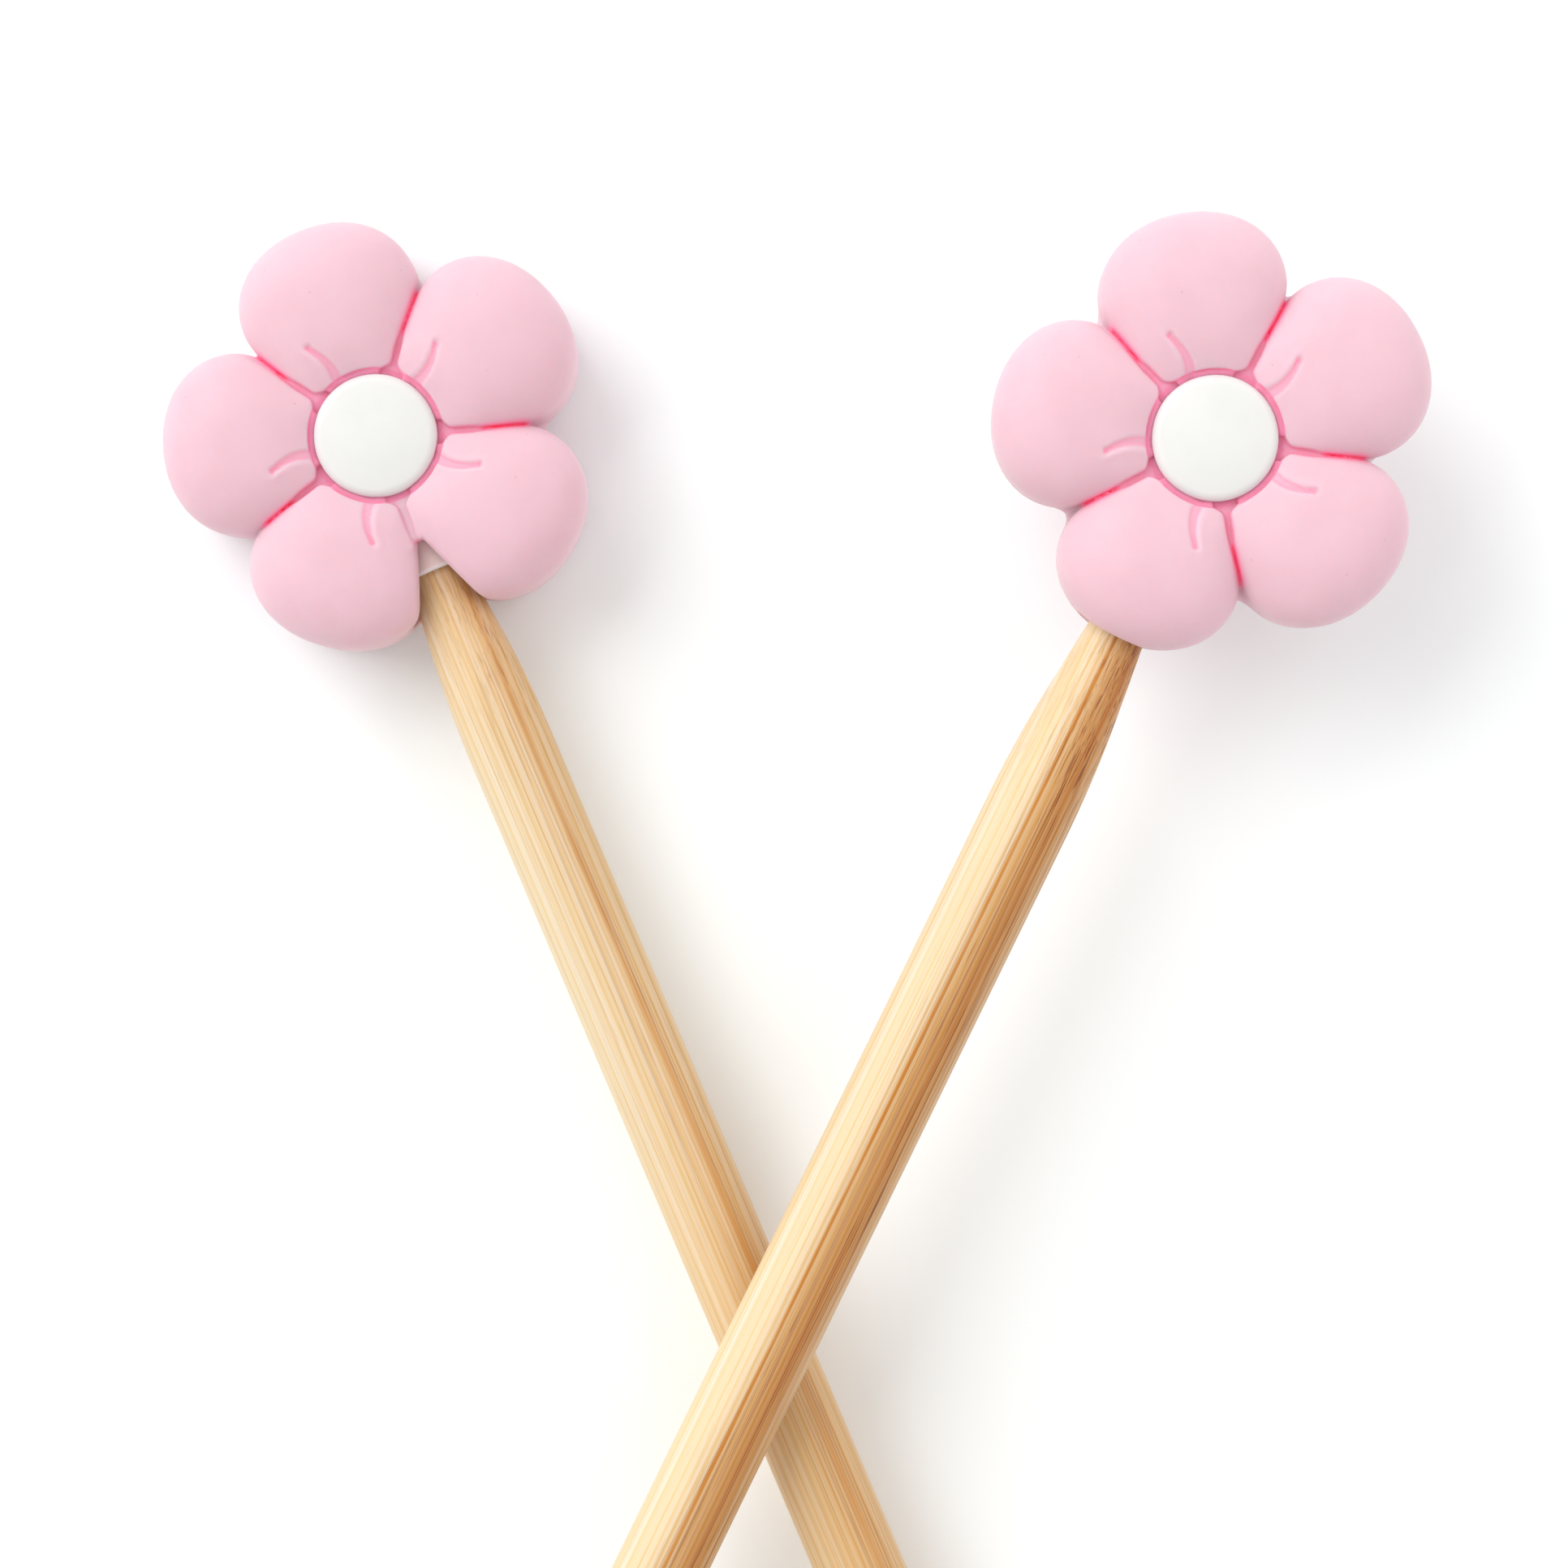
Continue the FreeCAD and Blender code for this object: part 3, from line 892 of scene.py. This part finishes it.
def silicone(name, tones, scatter, shade_colours=()):
    """Matte moulded silicone: a soft scattering body, a faint grain and a few specks of dust.

    With shade colours given, the attribute "hollow" deepens it in seams and recesses, as painted
    shade.
    """
    nodes = Nodes(name)
    place = nodes.coordinates((1, 1, 1))
    cloud = nodes.noise(place, scale=0.35, detail=3)
    colour = nodes.mix(nodes.span(cloud, *CLOUD_ZONE), *tones)
    speck = nodes.add("TexVoronoi", {"Vector": place, "Scale": DUST_SPREAD}, feature="F1")
    dot = nodes.span(speck.outputs["Distance"], *DUST_SIZE, 1, 0)
    colour = nodes.mix(nodes.math("MULTIPLY", dot, DUST_STRENGTH), colour, DUST)
    # Painted shade: the colour deepens by the point attribute in creases, seams and the ring
    if shade_colours:
        depth = nodes.add("Attribute", attribute_name="painted_shade").outputs["Fac"]
        for step, shade_colour in zip(PAINTED_SHADE_STEPS, shade_colours):
            colour = nodes.mix(nodes.span(depth, *step, smooth=False), colour, shade_colour)
    grain = nodes.noise(place, scale=9.0, detail=4, rough=0.6)
    normal = nodes.bump(grain, strength=0.12, distance=GRAIN_HEIGHT)
    material = nodes.finish(Base_Color=colour, Normal=normal)
    shader = nodes.shader.inputs
    shader["Roughness"].default_value = 0.58
    shader["Specular IOR Level"].default_value = 0.35
    shader["Subsurface Weight"].default_value = 0.7
    shader["Subsurface Scale"].default_value = 1.5 * MM
    shader["Subsurface Radius"].default_value = scatter
    shader["Sheen Weight"].default_value = 0.08
    shader["Sheen Roughness"].default_value = 0.5
    return material


def bamboo(name, plan):
    """Waxed bamboo: its fibres run along X, so a taper or a ball cuts across them.

    It is darker towards +Y, painted shade on the side away from the key light, paling again at the
    far edge as painted bounce light from the floor; its fibres and hairlines show more strongly on
    the darker side.
    """
    nodes = Nodes(name)
    offset = plan["grain_offset"]
    place = nodes.add("SeparateXYZ", {"Vector": nodes.coordinates((1, 1, 1))})
    along, across = place.outputs["X"], place.outputs["Y"]
    # Painted shade: darker across the needle towards +Y, the side away from the key light, easing
    # off at the far edge as painted bounce light
    start, end, darkest = plan["painted_side_shade"]
    side_shade = nodes.span(across, start, end, 0, darkest)
    start, end, kept = PAINTED_BOUNCE_EDGE
    side_shade = nodes.math("MULTIPLY", side_shade, nodes.span(across, start, end, 1, kept))
    grain = {}
    for kind, (squeeze, scale, detail) in GRAIN.items():
        grain[kind] = nodes.noise(nodes.coordinates(squeeze, offset), scale, detail)
    wave_inputs = {"Vector": nodes.coordinates(STRIPES_SQUEEZE, offset), **STRIPES}
    grain["stripes"] = nodes.add("TexWave", wave_inputs, bands_direction="Y").outputs["Fac"]
    colour = nodes.mix(nodes.span(grain["broad"], *CLOUD_ZONE), BAMBOO_PALE, BAMBOO_BODY)
    colour = nodes.mix(side_shade, colour, BAMBOO_SHADE_TAN)
    for start, end, strength in plan["warm"]:
        warm = nodes.span(along, start, end, 0, strength)
        colour = nodes.mix(warm, colour, WARM_TINT, "MULTIPLY")
    for kind, (start, end, paler, darker, tint) in MARKS.items():
        shown = nodes.span(side_shade, 0, 1, paler, darker, smooth=False)
        line = nodes.math("MULTIPLY", nodes.span(grain[kind], start, end), shown)
        colour = nodes.mix(line, colour, tint, "MULTIPLY")
    for middle, half, strength in plan["gold_lines"]:
        away = nodes.math("ABSOLUTE", nodes.math("SUBTRACT", across, middle))
        line = nodes.span(away, half, half * GOLD_CORE, 0, strength)
        line = nodes.math("MULTIPLY", line, grain["blotch"])
        colour = nodes.mix(line, colour, GOLDEN_TINT, "MULTIPLY")
    dips = nodes.math("MULTIPLY", grain["fibres"], FIBRE_DIP)
    relief = nodes.math("SUBTRACT", grain["bands"], dips)
    normal = nodes.bump(relief, strength=0.2, distance=GRAIN_HEIGHT)
    roughness = nodes.span(grain["lines"], *BAMBOO_GLOSS_ZONE, *BAMBOO_ROUGHNESS)
    material = nodes.finish(Base_Color=colour, Roughness=roughness, Normal=normal)
    shader = nodes.shader.inputs
    shader["Subsurface Weight"].default_value = 0.2
    shader["Subsurface Scale"].default_value = 0.4 * MM
    shader["Subsurface Radius"].default_value = (1.0, 0.4, 0.15)
    return material


def sleeve_material(name, mouth_at):
    """Pale translucent silicone, painted lighter where the lip is thin: painted light glowing
    through the thin silicone.
    """
    nodes = Nodes(name)
    place = nodes.coordinates((1, 1, 1))
    along = nodes.add("SeparateXYZ", {"Vector": place}).outputs["X"]
    # Painted light at the lip, near the mouth
    lip = nodes.span(along, *[mouth_at - inwards for inwards in SLEEVE_LIP_ZONE])
    cloud = nodes.noise(place, scale=1.2, detail=3)
    colour = nodes.mix(lip, nodes.mix(cloud, *SLEEVE_BODY), SLEEVE_LIP_GLOW)
    grain = nodes.noise(place, scale=8.0, detail=3)
    normal = nodes.bump(grain, strength=0.1, distance=GRAIN_HEIGHT)
    material = nodes.finish(Base_Color=colour, Normal=normal)
    shader = nodes.shader.inputs
    shader["Roughness"].default_value = 0.45
    shader["Subsurface Weight"].default_value = 0.6
    shader["Subsurface Scale"].default_value = 1.0 * MM
    shader["Subsurface Radius"].default_value = (1.0, 0.6, 0.5)
    return material


def floor_material():
    nodes = Nodes("floor_white")
    place = nodes.coordinates((1, 1, 1))
    tone = nodes.mix(nodes.noise(place, scale=0.02, detail=2), *FLOOR_WHITE)
    return nodes.finish(Base_Color=tone, Roughness=0.9)


# Build


petal_silicone = silicone("petal_silicone", PETAL_PINK, PETAL_SCATTER, PETAL_PAINTED_SHADE)
button_silicone = silicone("button_silicone", BUTTON_WHITE, BUTTON_SCATTER)
for name, plan in SETS.items():
    make_shaft(name, plan, bamboo(name + "_bamboo", plan))
    make_knob(name, plan, bamboo(name + "_knob_bamboo", {**plan, **KNOB_GRAIN}))
    make_flower(name, plan, petal_silicone)
    make_button(name, button_silicone)
    make_sleeve(name, plan, sleeve_material(name + "_sleeve_silicone", plan["mouth_at"]))


# Stage, light and camera: the view is straight down, with the crossing low in the frame

CAMERA_FROM_CROSSING = (1.11, 32.24)
CAMERA_HEIGHT = 265.0
CAMERA_LENS = 103.7
CAMERA_SENSOR = 36
FLOOR_HALF_SIZE = 2         # in metres
FLOOR_DROP = 0.05           # under the needles, so that nothing touches it
# Each light's place from the middle of the view and its width, in metres, and its power
LIGHTS = {
    "key": ((-1.2, 0.88, 1.35), 1.7, 30.0),
    "fill": ((0.16, 0.08, 0.16), 0.15, 0.1),
}
WORLD_STRENGTH = 0.72

crossing = Vector(joints["needle_swing"]["pos_m"])

floor_corners = [(-1, -1), (1, -1), (1, 1), (-1, 1)]
floor_points = [(x * FLOOR_HALF_SIZE, y * FLOOR_HALF_SIZE, 0) for x, y in floor_corners]
floor_mesh = bpy.data.meshes.new("floor")
floor_mesh.from_pydata(floor_points, [], [(0, 1, 2, 3)])
floor_mesh.materials.append(floor_material())
floor = bpy.data.objects.new("floor", floor_mesh)
floor.location.z = -FLOOR_DROP * MM
bpy.context.scene.collection.objects.link(floor)

camera_data = bpy.data.cameras.new("camera")
camera_data.lens = CAMERA_LENS
camera_data.sensor_width = CAMERA_SENSOR
camera = bpy.data.objects.new("camera", camera_data)
camera.location = (
    crossing.x + CAMERA_FROM_CROSSING[0] * MM,
    crossing.y + CAMERA_FROM_CROSSING[1] * MM,
    CAMERA_HEIGHT * MM,
)
bpy.context.scene.collection.objects.link(camera)
bpy.context.scene.camera = camera


def soft_box(name, place, target, width, power):
    """A square white area light at a place, facing a target, both in metres."""
    data = bpy.data.lights.new(name, "AREA")
    data.size = width
    data.energy = power
    light = bpy.data.objects.new(name, data)
    light.visible_camera = False
    light.location = place
    aim = Vector(target) - Vector(place)
    light.rotation_euler = aim.to_track_quat("-Z", "Y").to_euler()
    bpy.context.scene.collection.objects.link(light)


view_centre = Vector((camera.location.x, camera.location.y, 0))
for name, (place, width, power) in LIGHTS.items():
    soft_box(name, view_centre + Vector(place), view_centre, width, power)

world = bpy.data.worlds.new("world")
world.use_nodes = True
background = world.node_tree.nodes["Background"].inputs
background["Color"].default_value = (1, 1, 1, 1)
background["Strength"].default_value = WORLD_STRENGTH
bpy.context.scene.world = world
bpy.context.scene.view_settings.view_transform = "Standard"
